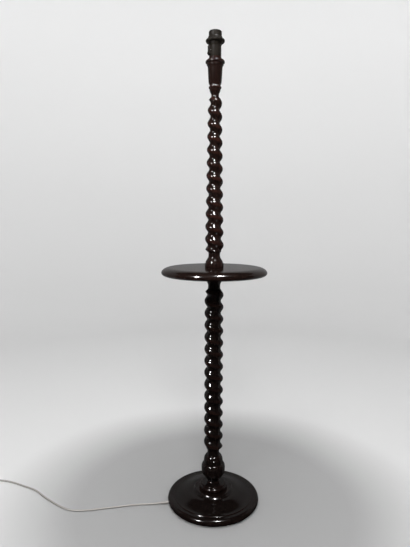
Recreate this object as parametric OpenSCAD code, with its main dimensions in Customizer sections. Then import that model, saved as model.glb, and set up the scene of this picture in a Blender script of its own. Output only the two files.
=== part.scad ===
// Candlestick floor lamp: a turned base, two barley-twist columns with a round table between
// them, a candle cup and a screw lampholder with a side switch and a shade ring.
// Millimetres, +Z up. The origin is on the floor, on the axis of the columns.

/* [Base] */
// Diameter of the base over its rounded rim
base_d = 302; // [260:1:360]
// Height of the rounded rim, from the floor
rim_h = 24; // [18:1:34]
// How far the rim's rounding reaches in
rim_round = 12; // [8:1:16]
// Width of the rim moulding, from the edge in to the bead line
rim_band = 21; // [16:1:30]
// Height of the small step behind the rim moulding
rim_step = 2; // [1:0.5:4]
// Height of the middle of the base, where the column stands
base_mid_h = 47; // [40:1:60]
// Thickness of the baize under the base
pad_t = 1.5; // [1:0.5:3]
// Radius of the wiring hollow under the base
hollow_r = 26; // [22:1:32]
// Height of the wiring hollow above the baize
hollow_h = 22.5; // [20:0.5:26]

/* [Lower column] */
// Height from the base to the table's underside
lower_h = 713; // [600:1:800]
// Radius of the foot where it stands on the base
foot_r = 48; // [40:1:56]
// Radius of the vase above the foot
vase_r = 39; // [32:1:46]
// Radius of the shoulder above the vase
shoulder_r = 31.2; // [26:0.2:36]
// Radius of the lower column's plain necks
lower_neck_r = 19.4; // [17:0.2:24]
// Radius over the ridges at the lower end of the twist
lower_ridge_bottom_r = 31.2; // [28:0.2:36]
// Radius over the ridges at the upper end of the twist
lower_ridge_top_r = 30.4; // [26:0.2:36]

/* [Upper column] */
// Height from the table to the candle cup
upper_h = 556; // [440:1:650]
// Radius of the rings that clasp the table
ring_r = 29.7; // [26:0.1:36]
// Radius of the neck above the table
upper_neck_r = 18.4; // [16:0.2:22]
// Radius over the ridges at the lower end of the twist
upper_ridge_bottom_r = 30; // [26:0.2:34]
// Radius over the ridges at the upper end of the twist
upper_ridge_top_r = 21.4; // [20:0.2:28]
// Radius of the slim neck under the candle cup
slim_neck_r = 11.8; // [11:0.2:15]

/* [Twist] */
// Rise of the twist in one turn
twist_pitch = 39.3; // [30:0.1:50]
// Depth of the hollow between the ridges
twist_depth = 8.4; // [4:0.2:9]
// Sharpness of the hollow: 1 is a plain wave, higher is a narrower hollow
hollow_power = 1.2; // [0.8:0.1:2]

/* [Joints in the wood] */
// Bore for the flex through all the wood
wire_bore_d = 11; // [9:0.5:12]
// Diameter of the tenon into the base
foot_tenon_d = 30; // [24:1:36]
// Diameter of the tenon through the table into the upper column
table_tenon_d = 24; // [20:1:28]
// Length of the table tenon inside the upper column
table_tenon_in = 25; // [18:1:32]
// Diameter of the tenon into the candle cup
cup_tenon_d = 18; // [15:1:20]
// Length of the tenon into the candle cup
cup_tenon_h = 28; // [20:1:34]
// Radial room around each tenon
tenon_fit = 0.1; // [0.05:0.05:0.2]

/* [Table] */
// Diameter of the table
table_d = 336; // [280:1:400]
// Thickness of the table
table_t = 27; // [20:1:34]
// How far the upper edge rounds in
table_round = 30; // [18:1:36]
// How far the lower edge rounds in
table_under = 17; // [8:1:24]

/* [Candle cup] */
// Height of the cup
cup_h = 81; // [70:1:95]
// Radius of the cup's collar
collar_r = 29.2; // [26:0.2:34]
// Radius of the cup's body below the collar
cup_r = 22.2; // [20:0.2:25]
// Radius of the cup's foot and of the ledge under the lampholder
cup_foot_r = 19.8; // [18:0.2:21]

/* [Lampholder] */
// Outer radius of the lower body
body_r = 18.2; // [17.6:0.1:19]
// Height of the lower body
body_h = 38; // [34:1:44]
// Outer radius of the threaded mantle
mantle_r = 20; // [19.6:0.1:21]
// Height of the threaded mantle
mantle_h = 37; // [36:1:44]
// Radius of the shade ring's flange
shade_ring_r = 28.8; // [26:0.2:34]
// Height of the round lower flank of the shade ring
shade_ring_flank = 8; // [6:0.5:9]
// Wall of the moulded housings
wall = 2.2; // [1.6:0.1:2.4]
// Inner radius of the brass screw shell for the bulb
shell_r = 13.3; // [13:0.1:13.6]
// Depth of the screw shell
shell_h = 20; // [18:1:22]
// Direction that the switch faces, from +X towards +Y
switch_side = 200; // [150:5:260]
// Width of the switch housing
switch_w = 13; // [11:0.5:16]
// Height of the switch housing
switch_h = 29; // [26:1:30]
// How far the switch housing stands off the body
switch_proud = 4.2; // [3:0.2:6]
// Tilt of the rocker at rest
rocker_tilt = 6; // [3:1:8]

/* [Flex and plug] */
// Diameter of the flex
cord_d = 6; // [5:0.2:7]
// Direction in which the flex leaves the base, from +X towards +Y
cord_side = 190; // [170:1:200]
// Height of the flex where it leaves the base
cord_exit_z = 6.5; // [6:0.1:8]
// Length of the tapered bush outside the base
bush_out = 24; // [20:1:40]
// Radius of the bend inside the base
bend_r = 16; // [14:1:18]
// Turns in the stored coil
coil_turns = 6.25; // [4.25:1:8.25]
// Radius of the coil's outer turn
coil_r = 44.5; // [40:0.5:60]
// Distance between turns and between layers
coil_step = 6.7; // [6.5:0.1:8]

/* [Hidden] */

$fn = 96;

// Colours, as the lamp shows them
ebony = "#241513";
mahogany = "#3a201a";
moulded = "#2e2a26";
brass = "#b08d46";
steel = "#8d8f92";
ceramic = "#d9d4c8";
baize = "#2f3b2c";
flex_grey = "#8c8984";

// Heights that stack up from the floor
table_z = base_mid_h + lower_h;
upper_z = table_z + table_t;
cup_z = upper_z + upper_h;
holder_z = cup_z + cup_h;
mantle_z = holder_z + body_h;
holder_top = mantle_z + mantle_h;

wire_r = wire_bore_d / 2;
cord_r = cord_d / 2;
base_r = base_d / 2;
hollow_top = pad_t + hollow_h;

// ---------------------------------------------------------------- outlines
// An outline is a list of [radius, height] points, from the bottom up.

function mix(a, b, t) = a + (b - a) * t;

function ease(t) = (1 - cos(180 * t)) / 2;

// Part of an ellipse round [r, z] with half axes a and b
function arc(r, z, a, b, from, to, n = 8) =
    [for (i = [0:n]) let (t = mix(from, to, i / n)) [r + a * cos(t), z + b * sin(t)]];

// A double curve from one radius and height to another
function ogee(r0, z0, r1, z1, n = 10, lean = 1) =
    [for (i = [0:n]) [mix(r0, r1, ease(pow(i / n, lean))), mix(z0, z1, i / n)]];

function reversed(list) = [for (i = [len(list) - 1:-1:0]) list[i]];

// A bell mouth: upright at the bottom and ever wider towards the top
function flare(r0, z0, r1, z1, n) =
    [for (i = [0:n]) [mix(r0, r1, pow(i / n, 1.75)), mix(z0, z1, i / n)]];

// A double curve that starts and ends level
function dome(r0, z0, r1, z1, n) =
    [for (i = [0:n]) [mix(r0, r1, i / n), mix(z0, z1, ease(i / n))]];

module turned(outline, z0, z1) {
    rotate_extrude()
        polygon(concat([[0, z0]], outline, [[0, z1]]));
}

module ring(outer, inner, height, z) {
    translate([0, 0, z])
        difference() {
            cylinder(r = outer, h = height);
            translate([0, 0, -1])
                cylinder(r = inner, h = height + 2);
        }
}

module wire_bore(z0, z1) {
    translate([0, 0, z0 - 1])
        cylinder(r = wire_r, h = z1 - z0 + 2);
}

// ---------------------------------------------------------------- barley twist
// One ridge winds down to the right round the blank. Phase is counted in turns: a ridge is
// where it is a whole number. The blank's own end curves cut the ridge off, as the turner does.

twist_sides = 24;
rings_per_turn = 10;

function hollow(phase) = pow((1 - cos(360 * phase)) / 2, hollow_power);

function ridge_radius(z, angle, blank, carved, origin) =
    min(blank, carved - twist_depth * hollow((z - origin) / twist_pitch + angle / 360));

// Radius of the blank: rounded shoulders of the given heights at both ends
function blank_radius(z, z0, z1, r0, r1, e0, e1, full0, full1) =
    z < z0 + e0 ? mix(r0, full0, sin(90 * (z - z0) / e0)) :
    z > z1 - e1 ? mix(r1, full1, sin(90 * (z1 - z) / e1)) :
    mix(full0, full1, (z - z0) / (z1 - z0));

module twist(z0, z1, r0, r1, e0, e1, full0, full1, origin) {
    rings = ceil((z1 - z0) / twist_pitch * rings_per_turn);
    n = twist_sides;
    points = [for (k = [0:rings], i = [0:n - 1])
        let (z = mix(z0, z1, k / rings),
             angle = 360 * i / n,
             blank = blank_radius(z, z0, z1, r0, r1, e0, e1, full0, full1),
             r = ridge_radius(z, angle, blank, mix(full0, full1, (z - z0) / (z1 - z0)), origin))
        [r * cos(angle), r * sin(angle), z]];
    walls = [for (k = [0:rings - 1], i = [0:n - 1], half = [0:1])
        let (j = (i + 1) % n, low = k * n, high = low + n)
        half == 0 ? [low + i, high + i, low + j] : [low + j, high + i, high + j]];
    polyhedron(points, concat([[for (i = [0:n - 1]) i]], walls,
                              [[for (i = [n - 1:-1:0]) rings * n + i]]), convexity = 10);
}

// ---------------------------------------------------------------- base

groove_w = cord_d + 1;
bush_r = 4.6;
bush_in = 14;

// The way of the flex out of the base, along the given direction at the exit height
module along_exit() {
    rotate([0, 0, cord_side])
        translate([0, 0, cord_exit_z])
            rotate([0, 90, 0])
                children();
}

module base_pad() {
    color(baize)
        cylinder(r = base_r - rim_round - 3, h = pad_t);
}

// Outline of the base from its underside, round the rim and up to the seat of the column
rim_mid = (rim_h + pad_t) / 2;
dome_r = foot_r + 22;
dome_z = rim_h + rim_step + (base_mid_h - rim_h - rim_step) * 0.62;
base_outline = concat(
    arc(base_r - rim_round, rim_mid, rim_round, rim_mid - pad_t, -90, 90, 16),
    [[base_r - rim_band + 1.5, rim_h],
     [base_r - rim_band + 0.5, rim_h + rim_step * 0.7],
     [base_r - rim_band - 1, rim_h + rim_step]],
    dome(base_r - rim_band - 2, rim_h + rim_step, dome_r, dome_z, 10),
    arc(dome_r, base_mid_h, dome_r - foot_r - 3, base_mid_h - dome_z, -90, -180, 6));

clip_x = hollow_r + 16;
clip_w = 9;
clip_l = 26;
clip_t = 1.2;
clip_hole = 9.5;
clip_z = cord_exit_z - cord_r - clip_t - 0.1;

module base_disc() {
    color(ebony)
        difference() {
            turned(base_outline, pad_t, base_mid_h);
            translate([0, 0, hollow_top])
                cylinder(d = foot_tenon_d + 2 * tenon_fit, h = base_mid_h);
            translate([0, 0, pad_t - 1])
                cylinder(r = hollow_r, h = hollow_h + 1);
            // groove for the flex, round at the top, and the hole for its bush at the rim
            along_exit()
                cylinder(d = groove_w, h = base_r + 5);
            rotate([0, 0, cord_side])
                translate([0, -groove_w / 2, pad_t - 1])
                    cube([base_r - bush_in - 2, groove_w, cord_exit_z - pad_t + 1]);
            along_exit()
                translate([0, 0, base_r - bush_in])
                    cylinder(r = bush_r + 0.1, h = bush_in + 5);
            rotate([0, 0, cord_side])
                translate([base_r - bush_in, -bush_r - 0.1, pad_t - 1])
                    cube([bush_in + 5, 2 * bush_r + 0.2, cord_exit_z - pad_t + 1]);
            // seat of the clip, and its two pilot holes
            rotate([0, 0, cord_side])
                translate([clip_x - clip_w / 2 - 0.5, -clip_l / 2 - 0.5, pad_t - 1])
                    cube([clip_w + 1, clip_l + 1, clip_z + clip_t - pad_t + 1]);
            for (side = [-1, 1])
                rotate([0, 0, cord_side])
                    translate([clip_x, side * clip_hole, pad_t])
                        cylinder(r = 1.25, h = 13);
        }
}

module cord_clip() {
    color(steel)
        rotate([0, 0, cord_side])
            difference() {
                translate([clip_x - clip_w / 2, -clip_l / 2, clip_z])
                    cube([clip_w, clip_l, clip_t]);
                for (side = [-1, 1])
                    translate([clip_x, side * clip_hole, clip_z - 1])
                        cylinder(r = 1.3, h = clip_t + 2);
            }
}

module clip_screws() {
    color(steel)
        rotate([0, 0, cord_side])
            for (side = [-1, 1])
                translate([clip_x, side * clip_hole, 0]) {
                    translate([0, 0, pad_t + 0.1])
                        cylinder(r = 2.4, h = clip_z - pad_t - 0.1);
                    translate([0, 0, pad_t + 0.2])
                        cylinder(r = 1.2, h = 12);
                }
}

// ---------------------------------------------------------------- columns

flare_h = 24.5;
table_ring_h = 8.5;
seat_ring_h = 13.5;
bead_r = 19.5;

// Lower column: trumpet foot with a bead, vase, shoulder, neck, twist, neck, flare, ring
foot_z = base_mid_h;
foot_bead_z = foot_z + 15;
vase_z = foot_z + 26;
vase_full_z = vase_z + 36;
shoulder_z = vase_z + 62;
neck_z = shoulder_z + 36;
lower_twist_z0 = neck_z + 11;
lower_twist_z1 = table_z - 44;
lower_end_r = lower_neck_r + 2.2;
lower_end_top_r = lower_neck_r + 1.8;
core_r = wire_r + 2.5;

lower_outline = concat(
    [[foot_tenon_d / 2, hollow_top], [foot_tenon_d / 2, foot_z]],
    [[foot_r - 1, foot_z], [foot_r, foot_z + 1.2], [foot_r, foot_z + 2.8]],
    arc(foot_r - 1, foot_bead_z, foot_r - 22, foot_bead_z - foot_z - 4, -90, -180, 10),
    arc(21, foot_bead_z + 2.6, 2.6, 2.6, -80, 80, 8),
    ogee(lower_neck_r - 0.6, vase_z - 1, vase_r, vase_full_z, 12),
    arc(shoulder_r, vase_full_z + 9, vase_r - shoulder_r, shoulder_z - vase_full_z - 10.5,
        0, 88, 8),
    arc(22.5, shoulder_z + 7, shoulder_r - 22.5, 18.5, 0, 90, 10),
    arc(22.5, neck_z, 22.5 - lower_neck_r, neck_z - shoulder_z - 25.5, -90, -180, 5),
    arc(lower_end_r, neck_z + 1, lower_end_r - lower_neck_r, lower_twist_z0 - neck_z - 1,
        180, 90, 5),
    [[core_r, lower_twist_z0 + 4], [core_r, lower_twist_z1 - 4]],
    [[lower_end_top_r, lower_twist_z1]],
    arc(lower_end_top_r, table_z - 34, lower_end_top_r - lower_neck_r, 10, -90, -180, 5),
    ogee(lower_neck_r, table_z - table_ring_h - flare_h, ring_r - 2, table_z - table_ring_h, 10,
         1.15),
    arc(ring_r - 1.5, table_z - table_ring_h + 1.5, 1.5, 1.5, -90, 0, 3),
    [[ring_r, table_z - 0.8], [ring_r - 0.8, table_z]],
    [[table_tenon_d / 2, table_z], [table_tenon_d / 2, upper_z + table_tenon_in]]);

module lower_column() {
    color(ebony)
        difference() {
            union() {
                turned(lower_outline, hollow_top, upper_z + table_tenon_in);
                twist(lower_twist_z0, lower_twist_z1, lower_end_r + 0.3, lower_end_top_r + 0.3,
                      12, 14, lower_ridge_bottom_r, lower_ridge_top_r, lower_twist_z0 + 44);
            }
            wire_bore(hollow_top, upper_z + table_tenon_in);
        }
}

// Upper column: ring, flare, neck, twist, slim neck, cove, step, bead, tenon
upper_neck_z = upper_z + seat_ring_h + flare_h;
upper_twist_z0 = upper_neck_z + 10;
upper_twist_z1 = cup_z - 35;
upper_end_r = upper_neck_r + 2.4;
upper_end_top_r = slim_neck_r + 0.6;
slim_core_r = wire_r + 1.5;

upper_outline = concat(
    [[table_tenon_d / 2, upper_z], [ring_r - 1.2, upper_z], [ring_r, upper_z + 1.2]],
    arc(ring_r - 1.5, upper_z + seat_ring_h - 1.5, 1.5, 1.5, 0, 90, 3),
    reversed(ogee(upper_neck_r, upper_neck_z, ring_r - 2, upper_z + seat_ring_h + 0.3, 10, 1.15)),
    arc(upper_end_r, upper_neck_z + 1, upper_end_r - upper_neck_r,
        upper_twist_z0 - upper_neck_z - 1, 180, 90, 5),
    [[slim_core_r, upper_twist_z0 + 6], [slim_core_r, upper_twist_z1 - 6]],
    [[upper_end_top_r, upper_twist_z1]],
    [[slim_neck_r, cup_z - 33], [slim_neck_r, cup_z - 31]],
    ogee(slim_neck_r, cup_z - 30.5, bead_r - 3, cup_z - 15, 8, 1.3),
    [[bead_r - 2.8, cup_z - 12]],
    arc(bead_r - 3.2, cup_z - 7, 3.2, 4, -80, 80, 8),
    [[bead_r - 3, cup_z - 2.2], [bead_r - 3, cup_z]],
    [[cup_tenon_d / 2, cup_z], [cup_tenon_d / 2, cup_z + cup_tenon_h]]);

module upper_column() {
    color(ebony)
        difference() {
            union() {
                turned(upper_outline, upper_z, cup_z + cup_tenon_h);
                twist(upper_twist_z0, upper_twist_z1, upper_end_r + 0.3, upper_end_top_r + 0.3,
                      14, 15, upper_ridge_bottom_r, upper_ridge_top_r, upper_twist_z0 + 22);
            }
            wire_bore(upper_z, cup_z + cup_tenon_h);
            translate([0, 0, upper_z - 1])
                cylinder(d = table_tenon_d + 2 * tenon_fit, h = table_tenon_in + 1.5);
        }
}

// ---------------------------------------------------------------- table

table_r = table_d / 2;
table_edge_z = table_z + table_t * 0.37;

module table_top() {
    color(mahogany)
        difference() {
            turned(concat(
                arc(table_r - table_under, table_edge_z, table_under, table_edge_z - table_z,
                    -90, 0, 8),
                arc(table_r - table_round, table_edge_z, table_round, upper_z - table_edge_z,
                    0, 90, 14)), table_z, upper_z);
            translate([0, 0, table_z - 1])
                cylinder(d = table_tenon_d + 2 * tenon_fit, h = table_t + 2);
        }
}

// ---------------------------------------------------------------- candle cup

// the collar: the flare under it, its lower edge and its rounded upper side
flare_z = cup_z + 47;
collar_low_z = cup_z + 66;
collar_in = 8;
collar_t = 7.2;
ledge_r = body_r + 0.7;

plate_r = 15;
plate_t = 1.5;
nipple_r = 5;
nipple_in = 22;
screw_ring = 10.5;

cup_outline = concat(
    [[bead_r - 3, cup_z], [bead_r - 1.4, cup_z + 2.4], [cup_foot_r - 0.7, cup_z + 5.4],
     [cup_foot_r, cup_z + 8.5], [cup_r - 0.9, cup_z + 29]],
    flare(cup_r, flare_z, collar_r, collar_low_z, 10),
    arc(collar_r - collar_in, collar_low_z + 1, collar_in, collar_t, 0, 75, 10),
    [[ledge_r, holder_z - 4.6], [ledge_r, holder_z - 0.6], [ledge_r - 0.6, holder_z]]);

module candle_cup() {
    color(ebony)
        difference() {
            turned(cup_outline, cup_z, holder_z);
            wire_bore(cup_z, holder_z - nipple_in);
            translate([0, 0, holder_z - nipple_in])
                cylinder(r = nipple_r + 0.05, h = nipple_in + 1);
            translate([0, 0, cup_z - 1])
                cylinder(d = cup_tenon_d + 2 * tenon_fit, h = cup_tenon_h + 1.5);
            translate([0, 0, holder_z - plate_t])
                cylinder(r = plate_r + 0.2, h = plate_t + 1);
            for (k = [0:2])
                rotate([0, 0, 60 + 120 * k])
                    translate([screw_ring, 0, holder_z - 14])
                        cylinder(r = 1.25, h = 14);
        }
}

module nipple_plate() {
    color(brass)
        translate([0, 0, holder_z - plate_t])
            difference() {
                cylinder(r = plate_r, h = plate_t);
                translate([0, 0, -1])
                    cylinder(r = nipple_r + 0.05, h = plate_t + 2);
                for (k = [0:2])
                    rotate([0, 0, 60 + 120 * k])
                        translate([screw_ring, 0, -1])
                            cylinder(r = 1.3, h = plate_t + 2);
            }
}

module plate_screws() {
    color(brass)
        for (k = [0:2])
            rotate([0, 0, 60 + 120 * k])
                translate([screw_ring, 0, holder_z]) {
                    translate([0, 0, -12])
                        cylinder(r = 1.2, h = 12.2);
                    cylinder(r = 2.3, h = 1.1);
                }
}

bush_in_body = 9;

module thread_nipple() {
    color(brass)
        ring(nipple_r, cord_r + 0.3, nipple_in + bush_in_body + 1, holder_z - nipple_in);
}

// ---------------------------------------------------------------- flex inside the lamp

riser_top = holder_z + bush_in_body + 3;

module riser_flex() {
    color(flex_grey)
        rotate([0, 0, cord_side]) {
            translate([bend_r, 0, cord_exit_z])
                rotate([0, 90, 0])
                    cylinder(r = cord_r, h = base_r - 1.5 - bend_r);
            translate([bend_r, 0, cord_exit_z + bend_r])
                rotate([90, 0, 0])
                    rotate([0, 0, 180])
                        rotate_extrude(angle = 90)
                            translate([bend_r, 0])
                                circle(r = cord_r);
            translate([0, 0, cord_exit_z + bend_r])
                cylinder(r = cord_r, h = riser_top - cord_exit_z - bend_r);
        }
}

terminal_x = 7;

// Two cores leave the flex and run up to the terminals
module flex_cores() {
    low = riser_top;
    high = block_z + 0.2;
    color("#4f6fa0")
        for (side = [-1, 1])
            tube(lead_in([[side * 1.6, 0, low], [side * 1.6, 0, low + 1.5],
                          [side * 3.2, 0, low + 8], [side * 5.5, 0, high - 9],
                          [side * terminal_x, 0, high - 2], [side * terminal_x, 0, high]]),
                 1.2, 8, [0, 1, 0]);
}

// ---------------------------------------------------------------- lampholder

block_r = 14.6;
block_t = 11;
well_r = 9;
well_h = 4.6;
block_z = mantle_z - 2;
shell_z = block_z + block_t + well_h;
shell_wall = 0.6;
spigot_h = 8;
lip_h = 1.2;
lip_r = mantle_r + 1.2;
shade_ring_z = mantle_z + lip_h;
ring_h = 20.3;
// plain collar over the thread, which a shade's fitting slides on to
collar_z = shade_ring_z + ring_h + 1;
collar_seat_r = mantle_r - 0.3;
rim_r = 2.5;

body_outline = concat(
    [[body_r - 1.5, holder_z], [body_r - 0.4, holder_z + 0.5], [body_r, holder_z + 1.6],
     [body_r, mantle_z - 7]],
    ogee(body_r, mantle_z - 6.5, mantle_r - 0.6, mantle_z - 1.5, 5),
    [[mantle_r - 0.6, mantle_z], [mantle_r - wall - 0.1, mantle_z],
     [mantle_r - wall - 0.1, mantle_z + spigot_h]]);

switch_z = holder_z + 19;
rocker_h = 22;
rocker_w = 7;
pin_r = 1;
pin_x = body_r - 1.2;

module switch_place() {
    rotate([0, 0, switch_side])
        translate([0, 0, switch_z])
            children();
}

// A block along +X with rounded long edges
module rounded_block(wide, tall, long, round_r) {
    for (side = [-1, 1], end = [-1, 1])
        translate([0, side * (wide / 2 - round_r), end * (tall / 2 - round_r)])
            rotate([0, 90, 0])
                cylinder(r = round_r, h = long);
    translate([0, -wide / 2 + round_r, -tall / 2])
        cube([long, wide - 2 * round_r, tall]);
    translate([0, -wide / 2, -tall / 2 + round_r])
        cube([long, wide, tall - 2 * round_r]);
}

module holder_body() {
    color(moulded)
        difference() {
            union() {
                turned(body_outline, holder_z, mantle_z + spigot_h);
                switch_place()
                    translate([8, 0, 0])
                        rounded_block(switch_w, switch_h, body_r + switch_proud - 8, 3);
            }
            // inside of the body, the ledge of the contact block and the hole for the nipple
            translate([0, 0, holder_z + 4])
                cylinder(r = body_r - wall - 2, h = body_h);
            translate([0, 0, block_z])
                cylinder(r = block_r + 0.3, h = spigot_h + 10);
            translate([0, 0, holder_z - 1])
                cylinder(r = 7.6, h = 6);
            // recess on top of the plate's screw heads
            for (k = [0:2])
                rotate([0, 0, 60 + 120 * k])
                    translate([screw_ring, 0, holder_z - 1])
                        cylinder(r = 2.7, h = 2.4);
            // slot of the rocker, and the hole of its pin
            switch_place() {
                translate([8, -rocker_w / 2 - 0.4, -rocker_h / 2 - 1.2])
                    cube([20, rocker_w + 0.8, rocker_h + 2.4]);
                translate([pin_x, -switch_w, 0])
                    rotate([-90, 0, 0])
                        cylinder(r = pin_r, h = 2 * switch_w);
            }
            // hole of the grub screw that locks the body on the nipple
            translate([0, 0, holder_z + 2])
                rotate([0, 90, switch_side + 180])
                    cylinder(r = 1.55, h = body_r + 2);
        }
}

module entry_bush() {
    color(brass)
        difference() {
            ring(7.5, nipple_r + 0.05, bush_in_body, holder_z);
            translate([0, 0, holder_z + 2])
                rotate([0, 90, switch_side + 180])
                    cylinder(r = 1.55, h = body_r + 2);
        }
}

module grub_screw() {
    color(steel)
        translate([0, 0, holder_z + 2])
            rotate([0, 90, switch_side + 180])
                translate([0, 0, nipple_r + 0.1])
                    cylinder(r = 1.5, h = body_r - nipple_r - 1);
}

module switch_rocker() {
    color("#1f1c19")
        switch_place()
            translate([pin_x, 0, 0])
                rotate([0, -rocker_tilt, 0])
                    difference() {
                        rotate([90, 0, 0])
                            translate([0, 0, -rocker_w / 2])
                                linear_extrude(height = rocker_w)
                                    polygon(concat(
                                        [[-5, -3], [-2, -rocker_h / 2 + 1]],
                                        [[5, -rocker_h / 2]],
                                        [for (t = [-1:0.25:1])
                                            [5.7 + 1.9 * t * t, t * (rocker_h / 2 - 0.5)]],
                                        [[5, rocker_h / 2]],
                                        [[-2, rocker_h / 2 - 1], [-5, 3]]));
                        translate([0, -rocker_w, 0])
                            rotate([-90, 0, 0])
                                cylinder(r = pin_r + 0.05, h = 2 * rocker_w);
                    }
}

module rocker_pin() {
    color(steel)
        switch_place()
            translate([pin_x, -switch_w / 2 + 0.6, 0])
                rotate([-90, 0, 0])
                    cylinder(r = pin_r, h = switch_w - 1.2);
}

// Two brass leaves that hang from the contact block, beside the rocker's heel
module switch_contacts() {
    color(brass)
        switch_place()
            for (side = [-1, 1])
                translate([pin_x - 6.2, side * 2 - 1.2, -7])
                    cube([0.6, 2.4, block_z - switch_z + 7]);
}

module holder_mantle() {
    color(moulded)
        difference() {
            turned(concat(
                [[lip_r - 0.4, mantle_z], [lip_r, mantle_z + 0.4], [lip_r, mantle_z + lip_h],
                 [mantle_r, mantle_z + lip_h], [mantle_r, collar_z], [collar_seat_r, collar_z]],
                arc(collar_seat_r - rim_r, holder_top - rim_r, rim_r, rim_r, 0, 90, 6)),
                mantle_z, holder_top);
            translate([0, 0, mantle_z - 1])
                cylinder(r = mantle_r - wall, h = mantle_h - 6);
            translate([0, 0, mantle_z])
                cylinder(r = shell_r + shell_wall + 0.5, h = mantle_h + 1);
        }
}

// Ring with a round lower flank and a conical hub, which screws up and down the mantle's thread
grips = 36;

module shade_ring() {
    z = shade_ring_z;
    hub_r = mantle_r + 1.3;
    flank_r = shade_ring_r - 6.5;
    color(moulded)
        difference() {
            turned(concat(
                [[hub_r, z], [hub_r + 0.3, z + 0.3], [hub_r + 0.3, z + 2]],
                arc(flank_r, z + shade_ring_flank, shade_ring_r - flank_r, shade_ring_flank - 2.4,
                    -90, 0, 8),
                arc(shade_ring_r - 1.5, z + shade_ring_flank + 1.2, 1.5, 1.5, 0, 50, 4),
                [[hub_r + 4.3, z + 12.6], [hub_r + 1.5, z + 15.6], [hub_r + 0.3, z + 18.4]],
                arc(hub_r - 0.8, z + ring_h - 0.9, 0.9, 0.9, 20, 90, 3)), z, z + ring_h);
            translate([0, 0, z - 1])
                cylinder(r = mantle_r + 0.1, h = ring_h + 2);
            for (k = [0:grips - 1])
                rotate([0, 0, 360 * k / grips])
                    translate([shade_ring_r + 0.5, 0, z + 3])
                        cylinder(r = 0.9, h = 9);
        }
}

module contact_block() {
    color(ceramic)
        difference() {
            translate([0, 0, block_z])
                cylinder(r = block_r, h = block_t + well_h);
            translate([0, 0, block_z + block_t])
                cylinder(r = well_r, h = well_h + 1);
            for (side = [-1, 1]) {
                translate([side * terminal_x, 0, block_z - 1])
                    cylinder(r = 1.6, h = 9);
                translate([side * terminal_x - 2.5, -2.5, block_z - 1])
                    cube([5, 5, 3]);
            }
        }
}

module screw_shell() {
    color(brass)
        difference() {
            translate([0, 0, shell_z])
                cylinder(r = shell_r + shell_wall, h = shell_h);
            translate([0, 0, shell_z + shell_wall])
                cylinder(r = shell_r, h = shell_h);
            translate([0, 0, shell_z - 1])
                cylinder(r = well_r, h = 4);
        }
}

module centre_contact() {
    color(brass)
        translate([0, 3, block_z + block_t])
            rotate([90, 0, 0])
                linear_extrude(height = 6)
                    polygon([[-6, 0], [5, 0], [6, 0.8], [4, 1.3], [0, 3.6], [-3, 4.2],
                             [-5.5, 3.2], [-5.2, 2.4], [-3, 3.3], [-0.4, 2.7], [3, 0.6],
                             [-6, 0.6]]);
}

module terminal_screws() {
    color(steel)
        for (side = [-1, 1])
            translate([side * terminal_x, 0, block_z]) {
                translate([0, 0, 2])
                    cylinder(r = 1.5, h = 5.5);
                translate([0, 0, 0.2])
                    cylinder(r = 2.3, h = 1.8);
            }
}

// ---------------------------------------------------------------- flex outside the lamp

exit_dir = [cos(cord_side), sin(cord_side), 0];
exit_from = (base_r - 1.5) * exit_dir + [0, 0, cord_exit_z];
bush_tip = (base_r + bush_out) * exit_dir + [0, 0, cord_exit_z];

module cord_bush() {
    color(flex_grey)
        along_exit()
            difference() {
                union() {
                    translate([0, 0, base_r - bush_in])
                        cylinder(r = bush_r, h = bush_in + 2);
                    translate([0, 0, base_r + 2])
                        cylinder(r1 = bush_r, r2 = cord_r + 0.8, h = bush_out - 2);
                }
                translate([0, 0, base_r - bush_in - 1])
                    cylinder(r = cord_r + 0.05, h = bush_in + bush_out + 2);
            }
}

// Where the coil lies, and the flex's way to it over the floor
floor_z = cord_r + 0.05;
coil_z = cord_r + 1.1;
coil_at = [-818, 62];
lead = cord_d;

route = concat(
    [exit_from, mix(exit_from, bush_tip, 0.5), bush_tip, bush_tip + lead * exit_dir],
    [[-206, -32.5, 4.2], [-232, -33, floor_z], [-256, -35.5, floor_z], [-282, -40, floor_z],
     [-309, -46, floor_z], [-335, -51, floor_z], [-360, -56, floor_z], [-384, -61, floor_z],
     [-408, -65, floor_z], [-432, -67, floor_z], [-454, -66, floor_z], [-476, -60, floor_z],
     [-498, -48, floor_z], [-519, -34, floor_z], [-540, -18, floor_z], [-560, -3, floor_z],
     [-580, 14, floor_z], [-600, 32, floor_z], [-620, 47, floor_z], [-641, 58, floor_z],
     [-665, 69, floor_z], [-690, 81, floor_z], [-715, 92, floor_z], [-740, 100, floor_z],
     [-765, 105, floor_z], [-786, 106.5, 3.4]],
    [for (k = [2, 1]) [coil_at[0] + k * lead, coil_at[1] + coil_r, coil_z]]);

// A round tube of the flex's size along a list of points, square to it at both ends
function unit(v) = v / norm(v);

function heading(p, i) =
    i == 0 ? unit(p[1] - p[0]) :
    i == len(p) - 1 ? unit(p[i] - p[i - 1]) :
    unit(unit(p[i + 1] - p[i]) + unit(p[i] - p[i - 1]));

// Points on smooth curves through the route's points, a given number between each two
function smooth(p, n) = [for (i = [0:len(p) - 2], k = [0:i == len(p) - 2 ? n : n - 1])
    let (a = p[max(0, i - 1)], b = p[i], c = p[i + 1], d = p[min(len(p) - 1, i + 2)], t = k / n)
    0.5 * (2 * b + (c - a) * t + (2 * a - 5 * b + 4 * c - d) * t * t
           + (3 * b - a - 3 * c + d) * t * t * t)];

// The same, with the first and last stretch left straight
function lead_in(p) = concat([p[0]], smooth([for (i = [1:len(p) - 2]) p[i]], 2), [p[len(p) - 1]]);

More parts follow.
